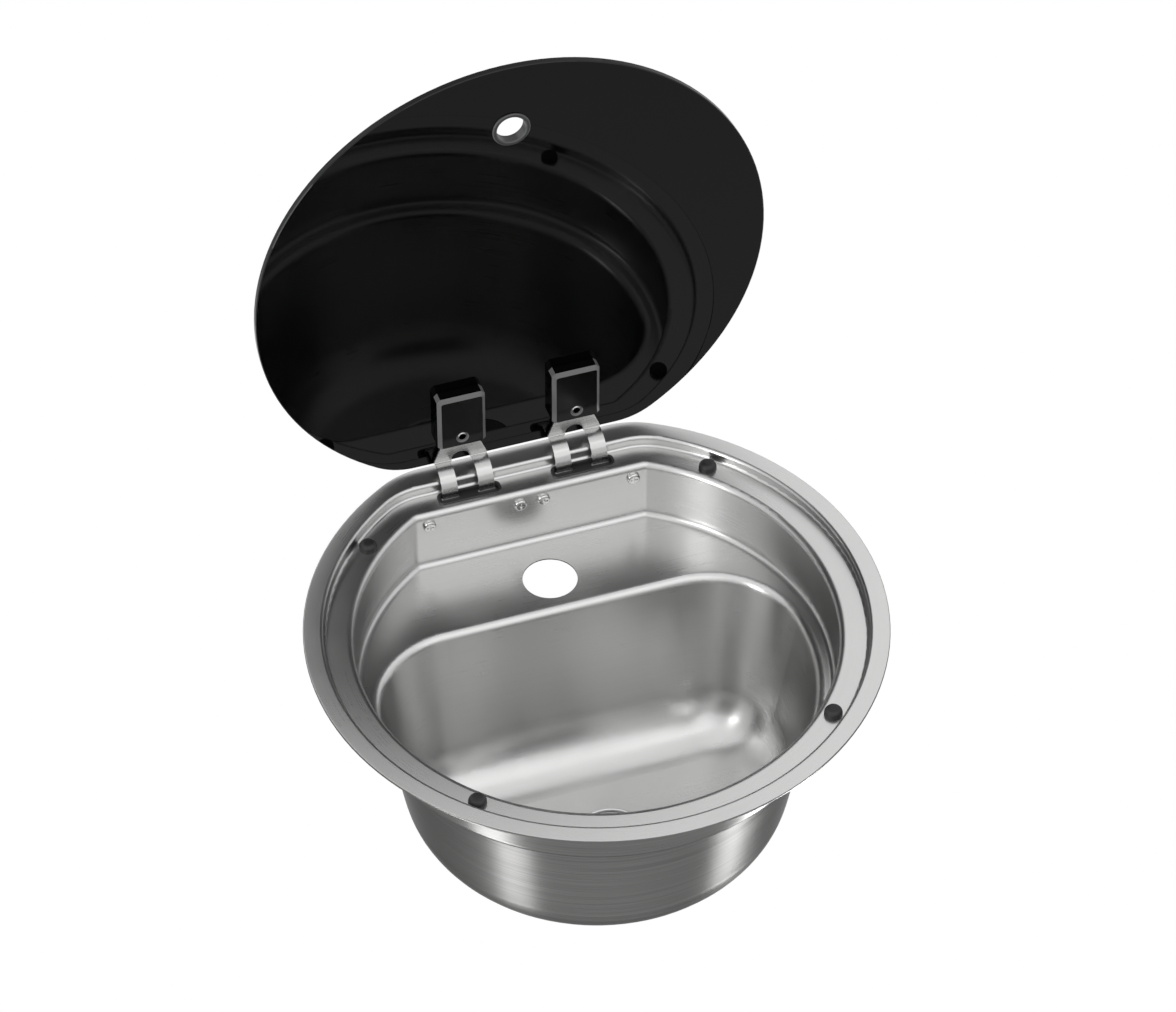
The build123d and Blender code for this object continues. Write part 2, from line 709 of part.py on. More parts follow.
with BuildPart() as waste_screw:
    with BuildSketch(Plane.XY.offset(drain_floor + dish_floor)):
        with Locations((0, drain_y)):
            Circle(waste_screw_head_radius)
    extrude(amount=waste_screw_head)
    fillet(waste_screw.faces().sort_by(Axis.Z)[-1].edges(), waste_screw_head / 2)
    with BuildSketch(Plane.XY.offset(drain_floor + dish_floor + waste_screw_head)):
        with Locations((0, drain_y)):
            Rectangle(2 * waste_screw_head_radius, waste_screw_slot)
    extrude(amount=-waste_screw_head / 2, mode=Mode.SUBTRACT)
    with BuildSketch(Plane.XY.offset(drain_floor + dish_floor)):
        with Locations((0, drain_y)):
            Circle(waste_screw_radius)
    extrude(amount=-(waste_flange_sheet + spider_drop + spider_height))
write(waste_screw, "waste_screw")

with BuildPart() as waste_seal_upper:
    with BuildSketch(Plane.XY.offset(drain_floor)):
        with Locations((0, drain_y)):
            Circle(waste_flange_radius - waste_seal)
            Circle(drain_hole_radius, mode=Mode.SUBTRACT)
    extrude(amount=waste_seal)
write(waste_seal_upper, "waste_seal_upper")

with BuildPart() as waste_seal_lower:
    with BuildSketch(Plane.XY.offset(drain_floor - sheet)):
        with Locations((0, drain_y)):
            Circle(waste_body_flange_radius - waste_seal)
            Circle(drain_hole_radius + waste_seal, mode=Mode.SUBTRACT)
    extrude(amount=-waste_seal)
write(waste_seal_lower, "waste_seal_lower")

body_top = -sheet - waste_seal
cup_inner = waste_cup_radius - waste_cup_wall
cup_bottom = body_top - waste_cup_depth
spigot_inner = spigot_radius - spigot_wall

with BuildPart() as waste_body:
    with BuildSketch(drain_plane) as profile:
        with BuildLine():
            Polyline((cup_inner, body_top),
                     (waste_body_flange_radius, body_top),
                     (waste_body_flange_radius, body_top - waste_body_flange),
                     (waste_cup_radius, body_top - waste_body_flange),
                     (waste_cup_radius, cup_bottom),
                     (spigot_radius, cup_bottom - waste_cup_wall),
                     (spigot_radius, cup_bottom - waste_cup_wall - spigot_length),
                     (spigot_inner, cup_bottom - waste_cup_wall - spigot_length),
                     (spigot_inner, cup_bottom),
                     (cup_inner, cup_bottom + waste_cup_wall),
                     close=True)
        make_face()
        fillet(profile.vertices().sort_by_distance((waste_cup_radius, cup_bottom))[0], waste_cup_wall)
    revolve(axis=waste_axis)
    # spider that the centre screw pulls on
    with BuildSketch(Plane.XY.offset(spider_top)):
        with Locations((0, drain_y)):
            Circle(spider_boss_radius)
            with PolarLocations(cup_inner / 2, spider_arms):
                Rectangle(cup_inner, spider_arm)
    extrude(amount=-spider_height)
    with BuildSketch(Plane.XY.offset(spider_top)):
        with Locations((0, drain_y)):
            Circle(waste_screw_radius + pin_clearance)
    extrude(amount=-spider_height, mode=Mode.SUBTRACT)
    # barbs cut into the spigot's end: each ramps out away from the end, then steps back in
    for barb in range(spigot_barbs):
        barb_z = cup_bottom - waste_cup_wall - spigot_length + barb * spigot_barb_pitch
        with BuildSketch(drain_plane):
            with BuildLine():
                Polyline((spigot_radius - spigot_barb, barb_z),
                         (spigot_radius + spigot_barb, barb_z),
                         (spigot_radius + spigot_barb, barb_z + 2 * spigot_barb_pitch),
                         close=True)
            make_face()
        revolve(axis=waste_axis, mode=Mode.SUBTRACT)
write(waste_body, "waste_body")
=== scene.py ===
# %% [markdown]
# # A camper sink with a hinged glass lid
#
# A stainless bowl is pressed from one sheet: a rim that lies on the worktop, a step for the lid, a
# basin with a ledge for the tap, and a deep D-shaped bowl. A black glass lid stands open behind it
# on two gooseneck hinges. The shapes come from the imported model. This file gives them their
# finishes, their light and their finest details.

import json
import math

import bpy
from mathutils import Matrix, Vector


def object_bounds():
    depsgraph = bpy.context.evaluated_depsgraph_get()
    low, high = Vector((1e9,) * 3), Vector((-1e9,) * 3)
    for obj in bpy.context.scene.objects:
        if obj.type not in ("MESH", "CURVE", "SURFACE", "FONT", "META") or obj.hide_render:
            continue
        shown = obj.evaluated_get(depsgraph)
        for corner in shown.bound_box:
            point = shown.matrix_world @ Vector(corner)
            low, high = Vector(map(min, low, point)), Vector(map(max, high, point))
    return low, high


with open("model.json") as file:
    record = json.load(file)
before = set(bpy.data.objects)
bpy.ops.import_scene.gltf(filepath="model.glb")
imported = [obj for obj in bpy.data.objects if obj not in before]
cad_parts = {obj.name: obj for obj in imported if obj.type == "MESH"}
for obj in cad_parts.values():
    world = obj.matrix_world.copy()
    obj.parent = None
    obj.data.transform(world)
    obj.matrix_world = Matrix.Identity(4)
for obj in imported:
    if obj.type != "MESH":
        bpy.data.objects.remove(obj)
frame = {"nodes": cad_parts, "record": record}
nodes = frame["nodes"]
cad_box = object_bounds()
print("pieces in the packed model:", len(nodes))
print("size in mm:", [round(1000 * (high - low)) for low, high in zip(*cad_box)])

# %% [markdown]
# ## The camera
#
# The photograph looks down on the sink at about 45 degrees, from a little to the left. The lens is
# long, so the round rim hardly narrows towards the back. The place was solved from the rim's
# ellipse, the tap hole and the lid's edge, and it is given here in metres.

# %% Camera
image_width = 1176             # pixels of the photograph
focal_pixels = 4700
sensor_width = 36.0            # mm
camera_place = (-0.71755, -2.11009, 2.30045)
camera_elevation = 44.485      # degrees that it looks down
camera_azimuth = -18.629       # degrees that it turns about the upright axis
farthest_seen = 50             # m

camera_data = bpy.data.cameras.new("camera")
camera_data.sensor_width = sensor_width
camera_data.lens = focal_pixels * sensor_width / image_width
camera_data.clip_end = farthest_seen
camera = bpy.data.objects.new("camera", camera_data)
camera.location = camera_place
camera.rotation_euler = (math.radians(90 - camera_elevation), 0, math.radians(camera_azimuth))
bpy.context.scene.collection.objects.link(camera)
bpy.context.scene.camera = camera
print("lens in mm:", round(camera_data.lens, 2))

# %% [markdown]
# ## Helpers for node trees
#
# Every finish in this file is a tree of nodes, and most nodes do plain arithmetic. A short function
# for each common kind keeps the later cells readable. Nodes could be wired by hand in the shader
# editor, but a script can be read line by line and gives the same tree each time.

# %% Shader helpers
def add(tree, kind, inputs=None, **settings):
    """One shader node, with its settings and with a value or a link for each named input."""
    node = tree.nodes.new(kind)
    for name, value in settings.items():
        setattr(node, name, value)
    for name, value in (inputs or {}).items():
        if isinstance(value, bpy.types.NodeSocket):
            tree.links.new(value, node.inputs[name])
        else:
            node.inputs[name].default_value = value
    return node


def calculate(tree, operation, first, second=0.0, third=0.0):
    """The output of a Math node. Each argument is a number or a socket."""
    return add(tree, "ShaderNodeMath", {0: first, 1: second, 2: third}, operation=operation).outputs[0]


def vectors(tree, operation, first, second=(0, 0, 0)):
    """The output of a Vector Math node: a number for lengths, distances and dot products."""
    node = add(tree, "ShaderNodeVectorMath", {0: first, 1: second}, operation=operation)
    gives_number = operation in ("LENGTH", "DISTANCE", "DOT_PRODUCT")
    return node.outputs["Value" if gives_number else "Vector"]


def scaled(tree, vector, factor):
    """A vector times a number."""
    node = add(tree, "ShaderNodeVectorMath", {0: vector, "Scale": factor}, operation="SCALE")
    return node.outputs["Vector"]


def split(tree, vector):
    """The three numbers of a vector, under their names X, Y and Z."""
    return add(tree, "ShaderNodeSeparateXYZ", {0: vector}).outputs


def join(tree, **parts):
    """A vector from the numbers X, Y and Z. One that isn't given is zero."""
    return add(tree, "ShaderNodeCombineXYZ", parts).outputs[0]


def ramp(tree, value, start, end, first=0.0, last=1.0, **settings):
    """A number that goes from the first to the last while the value goes from start to end."""
    inputs = {"Value": value, "From Min": start, "From Max": end, "To Min": first, "To Max": last}
    return add(tree, "ShaderNodeMapRange", inputs, **settings).outputs["Result"]


def blank_material(name):
    """A material with an empty tree."""
    material = bpy.data.materials.new(name)
    material.use_nodes = True
    material.node_tree.nodes.clear()
    return material, material.node_tree


def show(tree, shader):
    """Makes a shader the surface of its material."""
    output = tree.nodes.new("ShaderNodeOutputMaterial")
    tree.links.new(shader.outputs[0], output.inputs["Surface"])


# %% [markdown]
# ## Floor and studio
#
# Steel shows whatever stands round it, so the studio is part of the finish. The floor lies well
# below the sink, as if the sink hung in its worktop, so the shadow on it is soft. It is a single
# large face: a curved backdrop would do as well, but from above only the floor is in view.

# %% Floor
floor_drop = 1.05              # m from the sink's lowest point
floor_size = 60.0              # m, so that no view shows where it ends

floor_z = cad_box[0].z - floor_drop
half = floor_size / 2
floor_corners = [(x * half, y * half, floor_z) for x, y in ((-1, -1), (1, -1), (1, 1), (-1, 1))]
floor_mesh = bpy.data.meshes.new("floor")
floor_mesh.from_pydata(floor_corners, [], [(0, 1, 2, 3)])
floor = bpy.data.objects.new("floor", floor_mesh)
bpy.context.scene.collection.objects.link(floor)
print("floor at z in mm:", round(1000 * floor_z, 1))

# %% [markdown]
# ### White patch
#
# Behind the sink lies a white patch with a soft edge, as a sheet of paper would. The camera sees it
# as white, and so do steel and glass that mirror it. A lamp on the floor would do that too, but it
# would also light the sink from below. The Light Path node tells which kind of ray asks: scattered
# light meets the plain floor, so the patch brightens nothing and the floor keeps the sink's shadow.

# %% Floor paint
floor_colour = (0.93, 0.93, 0.93, 1.0)
patch_place = (0.5, 1.45)
patch_fades = (1.05, 1.5)      # distance at which the patch begins to fade, and where it is gone

floor_paint, tree = blank_material("floor_paint")
matt = add(tree, "ShaderNodeBsdfDiffuse", {"Color": floor_colour})
white = add(tree, "ShaderNodeEmission", {"Color": (1, 1, 1, 1), "Strength": 1.0})
spot = add(tree, "ShaderNodeTexCoord").outputs["Object"]
from_patch = vectors(tree, "DISTANCE", spot, (*patch_place, floor_z))
patch = ramp(tree, from_patch, *patch_fades, 1.0, 0.0, interpolation_type="SMOOTHSTEP")
ray = add(tree, "ShaderNodeLightPath").outputs
seen = calculate(tree, "MAXIMUM", ray["Is Camera Ray"], ray["Is Glossy Ray"])
seen = calculate(tree, "MAXIMUM", seen, ray["Is Transmission Ray"])
share = calculate(tree, "MULTIPLY", seen, patch)
show(tree, add(tree, "ShaderNodeMixShader", {0: share, 1: matt.outputs[0], 2: white.outputs[0]}))
floor_mesh.materials.append(floor_paint)
print("white patch, in m from its middle:", patch_fades)

# %% [markdown]
# ### Room and lamps
#
# A plain room gives even light from all sides. A wide lamp overhead keeps the flat rim pale, one in
# front fills the back wall, and low narrow ones at the sides draw the two upright streaks on the
# bowl. Flat lamps with a size of their own were chosen over point lamps, because polished steel
# shows the shape of each lamp.

# %% Room
room_level = 0.7

world = bpy.data.worlds.new("studio")
bpy.context.scene.world = world
world.use_nodes = True
background = world.node_tree.nodes["Background"]
background.inputs["Color"].default_value = (1, 1, 1, 1)
background.inputs["Strength"].default_value = room_level
print("room level:", room_level)


# %% Soft lamps
def softbox(name, place, aim, width, height, watts):
    """A flat soft lamp, turned from its place towards the point it lights."""
    data = bpy.data.lights.new(name, "AREA")
    data.shape = "RECTANGLE"
    data.size = width
    data.size_y = height
    data.energy = watts
    lamp = bpy.data.objects.new(name, data)
    lamp.location = place
    lamp.rotation_euler = (Vector(aim) - Vector(place)).to_track_quat("-Z", "Y").to_euler()
    bpy.context.scene.collection.objects.link(lamp)
    print(name, "radiance", round(watts / (math.pi * width * height), 2))


# place, the point it faces, width and height in metres, and watts
lamps = {
    "ceiling_lamp": ((0.3, 0.7, 1.1), (0.3, 0.7, -1), 3.0, 2.6, 5.5),
    "front_lamp": ((0.2, -1.1, 1.3), (0, 0, 0), 1.8, 1.2, 3.2),
    "left_lamp": ((-1.5, -0.6, 0.5), (0, 0, 0), 0.3, 1.3, 6),
    "low_left_lamp": ((-0.66, -0.3, -0.86), (0, 0, -0.1), 0.22, 0.4, 2.4),
    "low_right_lamp": ((0.72, -0.42, -0.9), (0, 0, -0.1), 0.24, 0.4, 5.5),
}
for name, values in lamps.items():
    softbox(name, *values)

bpy.context.scene.view_settings.view_transform = "Standard"

# %% [markdown]
# ## Effects that several finishes share
#
# Each effect is a node group with named sockets, built once. A material places it with its own
# values, so the grain of the bowl and the grain of a hinge strip differ in numbers and not in nodes.
# Painted textures could do the same, but they would need flattened maps and would blur close up.

# %% Group helpers
FLOAT = "NodeSocketFloat"
VECTOR = "NodeSocketVector"


def shader_group(name, inputs, outputs):
    """A node group with named sockets, its inner inputs and its output node."""
    group = bpy.data.node_groups.new(name, "ShaderNodeTree")
    for label, kind, value in inputs:
        group.interface.new_socket(label, in_out="INPUT", socket_type=kind).default_value = value
    for label, kind in outputs:
        group.interface.new_socket(label, in_out="OUTPUT", socket_type=kind)
    print("group", name, "gives", [label for label, kind in outputs])
    return group, group.nodes.new("NodeGroupInput").outputs, group.nodes.new("NodeGroupOutput")


def place_group(tree, group, inputs):
    """The outputs of one placed copy of a group in a material, with its own values."""
    return add(tree, "ShaderNodeGroup", inputs, node_tree=group).outputs


# %% [markdown]
# ### Brushed grain
#
# Sheet is brushed with a belt before it is pressed, and its finish is all fine parallel scratches.
# A noise squeezed in one direction and stretched in the other looks like them. The group takes the
# coordinate that runs across the scratches by itself, so that the same group can follow a round rim,
# an upright wall or a flat ledge.

# %% Brushed grain group
scratch_detail = 4.0
scratch_harshness = 0.62
scratch_contrast = (0.3, 0.7)

brushed_grain, given, result = shader_group(
    "brushed_grain",
    [("Place", VECTOR, (0, 0, 0)), ("Across", FLOAT, 0.0), ("Lines per Metre", FLOAT, 800.0),
     ("Changes per Metre", FLOAT, 12.0)],
    [("Streak", FLOAT)])
slow = split(brushed_grain, scaled(brushed_grain, given["Place"], given["Changes per Metre"]))
slow_sum = calculate(brushed_grain, "ADD", slow["Y"], slow["Z"])
fast = calculate(brushed_grain, "MULTIPLY", given["Across"], given["Lines per Metre"])
stretched = join(brushed_grain, X=slow["X"], Y=slow_sum, Z=fast)
scratches = add(brushed_grain, "ShaderNodeTexNoise",
                {"Vector": stretched, "Scale": 1.0, "Detail": scratch_detail,
                 "Roughness": scratch_harshness})
spread = ramp(brushed_grain, scratches.outputs["Fac"], *scratch_contrast)
brushed_grain.links.new(spread, result.inputs["Streak"])

# %% [markdown]
# ### Handling marks
#
# Hands, water and cloths leave broad patches that are a little duller than the rest. Two sizes of
# soft noise, multiplied, give patches with no visible repeat.

# %% Handling marks group
finer_times = 4.3              # how many times finer the second noise is
mark_contrast = (0.18, 0.36)

handling_marks, given, result = shader_group(
    "handling_marks",
    [("Place", VECTOR, (0, 0, 0)), ("Marks per Metre", FLOAT, 20.0)],
    [("Mark", FLOAT)])
broad = add(handling_marks, "ShaderNodeTexNoise",
            {"Vector": given["Place"], "Scale": given["Marks per Metre"], "Detail": 2.0})
finer_scale = calculate(handling_marks, "MULTIPLY", given["Marks per Metre"], finer_times)
finer = add(handling_marks, "ShaderNodeTexNoise",
            {"Vector": given["Place"], "Scale": finer_scale, "Detail": 3.0})
both = calculate(handling_marks, "MULTIPLY", broad.outputs["Fac"], finer.outputs["Fac"])
handling_marks.links.new(ramp(handling_marks, both, *mark_contrast), result.inputs["Mark"])

# %% [markdown]
# ### Moulded skin
#
# Plastic and rubber copy the fine spark-eroded skin of their mould. Small cells of noise, used as a
# height, break up the highlight just enough to tell them from paint.

# %% Moulded skin group
cells_per_tone = 50            # a change of tone is as wide as this many cells

moulded_skin, given, result = shader_group(
    "moulded_skin",
    [("Place", VECTOR, (0, 0, 0)), ("Cells per Metre", FLOAT, 2500.0)],
    [("Height", FLOAT), ("Tone", FLOAT)])
cells = add(moulded_skin, "ShaderNodeTexVoronoi",
            {"Vector": given["Place"], "Scale": given["Cells per Metre"]}, feature="SMOOTH_F1")
tone_scale = calculate(moulded_skin, "MULTIPLY", given["Cells per Metre"], 1 / cells_per_tone)
tone = add(moulded_skin, "ShaderNodeTexNoise",
           {"Vector": given["Place"], "Scale": tone_scale, "Detail": 4.0})
moulded_skin.links.new(cells.outputs["Distance"], result.inputs["Height"])
moulded_skin.links.new(tone.outputs["Fac"], result.inputs["Tone"])

# %% [markdown]
# ### Rubbed and highlit edges
#
# Chamfers and rounded corners are touched most, so they are smoother and a little lighter. A much
# lighter edge colour, as on the black holders, is a painted highlight. On parts that are square to
# the axes, a surface lies on an edge where its normal points between them. The group reads the normal
# in the part's own space, so the mask stays on its edge when the lid turns.

# %% Rubbed and highlit edges group
edge_contrast = (0.93, 0.82)   # largest part of the normal where an edge begins, and where it is full

rubbed_and_highlit_edges, given, result = shader_group(
    "rubbed_and_highlit_edges", [("Normal", VECTOR, (0, 0, 1))], [("Edge", FLOAT)])
leaning = split(rubbed_and_highlit_edges, given["Normal"])
sizes = [calculate(rubbed_and_highlit_edges, "ABSOLUTE", leaning[axis]) for axis in ("X", "Y", "Z")]
largest = calculate(rubbed_and_highlit_edges, "MAXIMUM", sizes[0], sizes[1])
largest = calculate(rubbed_and_highlit_edges, "MAXIMUM", largest, sizes[2])
rubbed_and_highlit_edges.links.new(ramp(rubbed_and_highlit_edges, largest, *edge_contrast), result.inputs["Edge"])

# %% [markdown]
# ### Thread lines
#
# Screw threads are less than half a millimetre high and sit on the far side of the wall. Modelled
# turns would need thousands of faces, so a zigzag height along the axis stands in for them. It
# starts at a given place, so that the same screw keeps a smooth head.

# %% Thread lines group
thread_lines, given, result = shader_group(
    "thread_lines",
    [("Along", FLOAT, 0.0), ("Pitch", FLOAT, 0.001), ("Starts at", FLOAT, 0.0)],
    [("Height", FLOAT)])
turns = calculate(thread_lines, "DIVIDE", given["Along"], given["Pitch"])
zigzag = calculate(thread_lines, "PINGPONG", turns, 0.5)
threaded = calculate(thread_lines, "GREATER_THAN", given["Along"], given["Starts at"])
height = calculate(thread_lines, "MULTIPLY", zigzag, threaded)
thread_lines.links.new(height, result.inputs["Height"])

# %% [markdown]
# ### Turned normals
#
# Rim, recess and basin wall are round about the sink's own axis, so their true normals never lean
# sideways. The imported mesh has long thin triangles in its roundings, and their normals do lean a
# little, which would break the highlight into teeth. The group takes the sideways share out of the
# normal where the steel is round, and leaves the straight back and the bowl alone.

# %% Turned normals group
round_from = 0.155         # radius beyond which the steel is round about the axis
round_floor = -0.0575      # just below the ledge, where the bowl begins
round_ends = (0.77, 0.84)  # sine of the angle where the round part runs into the straight back

turned_normals, given, result = shader_group(
    "turned_normals", [("Place", VECTOR, (0, 0, 0)), ("Normal", VECTOR, (0, 0, 1))], [("Normal", VECTOR)])
spot = split(turned_normals, given["Place"])
backwards = calculate(turned_normals, "MULTIPLY", spot["Y"], -1.0)
ring_line = join(turned_normals, X=backwards, Y=spot["X"])
reach = vectors(turned_normals, "LENGTH", ring_line)
sideways = vectors(turned_normals, "NORMALIZE", ring_line)
lean = vectors(turned_normals, "DOT_PRODUCT", given["Normal"], sideways)
sine = calculate(turned_normals, "DIVIDE", spot["Y"], reach)
before_back = ramp(turned_normals, sine, *round_ends, 1.0, 0.0)
wide = calculate(turned_normals, "GREATER_THAN", reach, round_from)
high = calculate(turned_normals, "GREATER_THAN", spot["Z"], round_floor)
on_round = calculate(turned_normals, "MULTIPLY", wide, high)
share = calculate(turned_normals, "MULTIPLY", on_round, before_back)
taken = calculate(turned_normals, "MULTIPLY", lean, share)
sideways_part = scaled(turned_normals, sideways, taken)
straightened = vectors(turned_normals, "SUBTRACT", given["Normal"], sideways_part)
turned_normals.links.new(vectors(turned_normals, "NORMALIZE", straightened), result.inputs["Normal"])

# %% [markdown]
# ## Pressed steel
#
# The bowl is drawn from one stainless sheet and finished satin. On the real sink the scratches run
# round the rim and the walls, and straight across the ledge and the floor. The outside is painted far
# darker than the inside, as painted shade for the dark surroundings it mirrors, and its scratches show
# more. The cut edge of the tap hole is painted near black, as painted shade in the hole. The
# surface is one metal shader. Its tangent runs round the sink, so highlights stretch up and down the
# walls as they do on brushed metal.

# %% Mixing helpers
def mix_values(tree, factor, first, second):
    """A number that goes from the first to the second as the factor goes from 0 to 1."""
    return add(tree, "ShaderNodeMix", {0: factor, 2: first, 3: second}, data_type="FLOAT").outputs[0]


def mix_colours(tree, factor, first, second):
    """A colour that goes from the first to the second as the factor goes from 0 to 1."""
    node = add(tree, "ShaderNodeMix", {0: factor}, data_type="RGBA")
    for index, colour in ((6, first), (7, second)):
        if isinstance(colour, bpy.types.NodeSocket):
            tree.links.new(colour, node.inputs[index])
        else:
            node.inputs[index].default_value = (*colour, 1)
    return node.outputs[2]


def dulled(tree, roughness, mask, by):
    """A roughness that a mask raises by the given amount at its brightest."""
    return calculate(tree, "MULTIPLY_ADD", mask, by, roughness)


# %% Places and colours of the pressed steel
basin_edge = 0.167               # inside this radius flat faces are brushed straight across
grain_centre = (0, 0, 0.05)      # surfaces that face away from here are the outside
outside_starts = (0.02, 0.05)    # how far a face looks away from there, in metres
flat_starts = (0.6, 0.8)         # upright part of the normal where a wall turns into a flat face
tap_hole_y = 0.1021
tap_hole_edge = 0.01954          # inside this radius lies only the cut edge of the sheet

inner_colours = ((0.705, 0.705, 0.70), (0.73, 0.73, 0.725))
# painted shade: the outside's steel colour is kept far darker than the inside's, for the dark
# surroundings it mirrors
shaded_outer_colours = ((0.15, 0.15, 0.148), (0.24, 0.24, 0.237))
# painted shade: the tap hole's cut edge is painted near black
hole_shade_colour = (0.03, 0.03, 0.03)
scratch_depth = 0.00002
edge_tint = (0.35, 0.35, 0.35, 1)    # keeps the steel grey where it is seen at a low angle


# %% Pressed steel
def pressed_steel():
    material, tree = blank_material("pressed_steel")
    where = add(tree, "ShaderNodeTexCoord").outputs
    place = where["Object"]
    axes = split(tree, place)
    flat_place = join(tree, X=axes["X"], Y=axes["Y"])
    radius = vectors(tree, "LENGTH", flat_place)

    on_rim = calculate(tree, "GREATER_THAN", radius, basin_edge)
    flat_line = mix_values(tree, on_rim, axes["Y"], radius)
    wall_grain = place_group(tree, brushed_grain, {"Place": place, "Across": axes["Z"],
                                                   "Lines per Metre": 1500.0, "Changes per Metre": 6.0})
    flat_grain = place_group(tree, brushed_grain, {"Place": place, "Across": flat_line,
                                                   "Lines per Metre": 1800.0, "Changes per Metre": 6.0})
    upness = calculate(tree, "ABSOLUTE", split(tree, where["Normal"])["Z"])
    flatness = ramp(tree, upness, *flat_starts)
    streak = mix_values(tree, flatness, wall_grain["Streak"], flat_grain["Streak"])

    from_centre = vectors(tree, "SUBTRACT", place, grain_centre)
    outwards = vectors(tree, "DOT_PRODUCT", from_centre, where["Normal"])
    outside = ramp(tree, outwards, *outside_starts)
    from_hole = vectors(tree, "ADD", flat_place, (0, -tap_hole_y, 0))
    # painted shade on the tap hole's cut edge
    hole_shade_mask = calculate(tree, "LESS_THAN", vectors(tree, "LENGTH", from_hole), tap_hole_edge)
    inner = mix_colours(tree, streak, *inner_colours)
    shaded_outer = mix_colours(tree, streak, *shaded_outer_colours)
    # the outside takes the painted shade colours
    colour = mix_colours(tree, outside, inner, shaded_outer)
    colour = mix_colours(tree, hole_shade_mask, colour, hole_shade_colour)

    marks = place_group(tree, handling_marks, {"Place": place, "Marks per Metre": 9.0})
    rough = dulled(tree, 0.27, marks["Mark"], by=0.02)
    rough = dulled(tree, rough, streak, by=0.015)
    carved = calculate(tree, "MULTIPLY", streak, outside)
    turned = place_group(tree, turned_normals, {"Place": place, "Normal": where["Normal"]})
    scratches = add(tree, "ShaderNodeBump", {"Strength": 0.1, "Distance": scratch_depth, "Height": carved,
                                             "Normal": turned["Normal"]})
    tangent = add(tree, "ShaderNodeTangent", direction_type="RADIAL", axis="Z")
    show(tree, add(tree, "ShaderNodeBsdfPrincipled",
                   {"Base Color": colour, "Metallic": 1.0, "Roughness": rough,
                    "Normal": scratches.outputs[0], "Specular Tint": edge_tint,
                    "Anisotropic": 0.55, "Anisotropic Rotation": 0.25,
                    "Tangent": tangent.outputs[0]}))
    return material


# %% [markdown]
# ## Hinge strip and fasteners
#
# The hinge arms are bent from strip that was ground before it was cut, so fine lines cross each
# gooseneck from side to side. Screws and pins are turned from bar and stay brighter. All are the
# same kind of metal shader as the sheet, with their own colours and grain. The grub screws in the
# glass holders are painted black inside their sockets, as painted shade, and plain steel round them.

# %% Places and colours of the fasteners
screw_pitch = 0.0007
wall_back = 0.1433             # y just behind the basin's back wall, where the screws' threads start
grub_screw_x = 0.042           # to either side
grub_screw_z = 0.0358
socket_reach = 0.0026          # inside this radius the grub screws are black
socket_fade = 0.0003

strip_colours = ((0.60, 0.60, 0.595), (0.66, 0.66, 0.655))
turned_colours = ((0.78, 0.78, 0.775), (0.66, 0.66, 0.655))
# painted shade: this colour stands in for the shade inside the grub screws' hex sockets
socket_shade_colour = (0.012, 0.012, 0.012)
socket_rim_colour = (0.62, 0.62, 0.615)


# %% Hinge strip
def strip_steel():
    material, tree = blank_material("hinge_steel")
    where = add(tree, "ShaderNodeTexCoord").outputs
    place = where["Object"]
    axes = split(tree, place)
    along_strip = calculate(tree, "SUBTRACT", axes["Z"], axes["Y"])
    grain = place_group(tree, brushed_grain, {"Place": place, "Across": along_strip,
                                              "Lines per Metre": 700.0, "Changes per Metre": 25.0})
    edges = place_group(tree, rubbed_and_highlit_edges, {"Normal": where["Normal"]})
    marks = place_group(tree, handling_marks, {"Place": place, "Marks per Metre": 40.0})
    colour = mix_colours(tree, grain["Streak"], *strip_colours)
    rough = dulled(tree, 0.24, marks["Mark"], by=0.02)
    rough = dulled(tree, rough, grain["Streak"], by=0.04)
    rough = dulled(tree, rough, edges["Edge"], by=-0.03)
    scratches = add(tree, "ShaderNodeBump",
                    {"Strength": 0.03, "Distance": scratch_depth, "Height": grain["Streak"]})
    show(tree, add(tree, "ShaderNodeBsdfPrincipled",
                   {"Base Color": colour, "Metallic": 1.0, "Roughness": rough,
                    "Normal": scratches.outputs[0]}))
    return material


# %% Turned fasteners
def turned_steel(name, threaded):
    """Bright steel turned from bar. A threaded one has its ridges from the wall's back on."""
    material, tree = blank_material(name)
    place = add(tree, "ShaderNodeTexCoord").outputs["Object"]
    marks = place_group(tree, handling_marks, {"Place": place, "Marks per Metre": 300.0})
    colour = mix_colours(tree, marks["Mark"], *turned_colours)
    rough = dulled(tree, 0.1, marks["Mark"], by=0.12)
    inputs = {"Base Color": colour, "Metallic": 1.0, "Roughness": rough}
    if threaded:
        thread = place_group(tree, thread_lines, {"Along": split(tree, place)["Y"], "Pitch": screw_pitch,
                                                  "Starts at": wall_back})
        ridges = add(tree, "ShaderNodeBump",
                     {"Strength": 1.0, "Distance": screw_pitch / 2, "Height": thread["Height"]})
        inputs["Normal"] = ridges.outputs[0]
    show(tree, add(tree, "ShaderNodeBsdfPrincipled", inputs))
    return material


# %% Grub screws
def socket_shaded_steel():
    """Steel with painted shade: black near a grub screw's axis, in its socket, and plain steel further
    out.
    """
    material, tree = blank_material("socket_shaded_steel")
    place = add(tree, "ShaderNodeTexCoord").outputs["Object"]
    marks = place_group(tree, handling_marks, {"Place": place, "Marks per Metre": 300.0})
    axes = split(tree, place)
    sideways = calculate(tree, "SUBTRACT", calculate(tree, "ABSOLUTE", axes["X"]), grub_screw_x)
    upwards = calculate(tree, "SUBTRACT", axes["Z"], grub_screw_z)
    radius = vectors(tree, "LENGTH", join(tree, X=sideways, Y=upwards))
    beyond_socket = ramp(tree, radius, socket_reach, socket_reach + socket_fade)
    # painted shade in the socket, plain steel round it
    colour = mix_colours(tree, beyond_socket, socket_shade_colour, socket_rim_colour)
    rough = dulled(tree, 0.2, marks["Mark"], by=0.1)
    show(tree, add(tree, "ShaderNodeBsdfPrincipled",
                   {"Base Color": colour, "Metallic": 1.0, "Roughness": rough}))
    return material


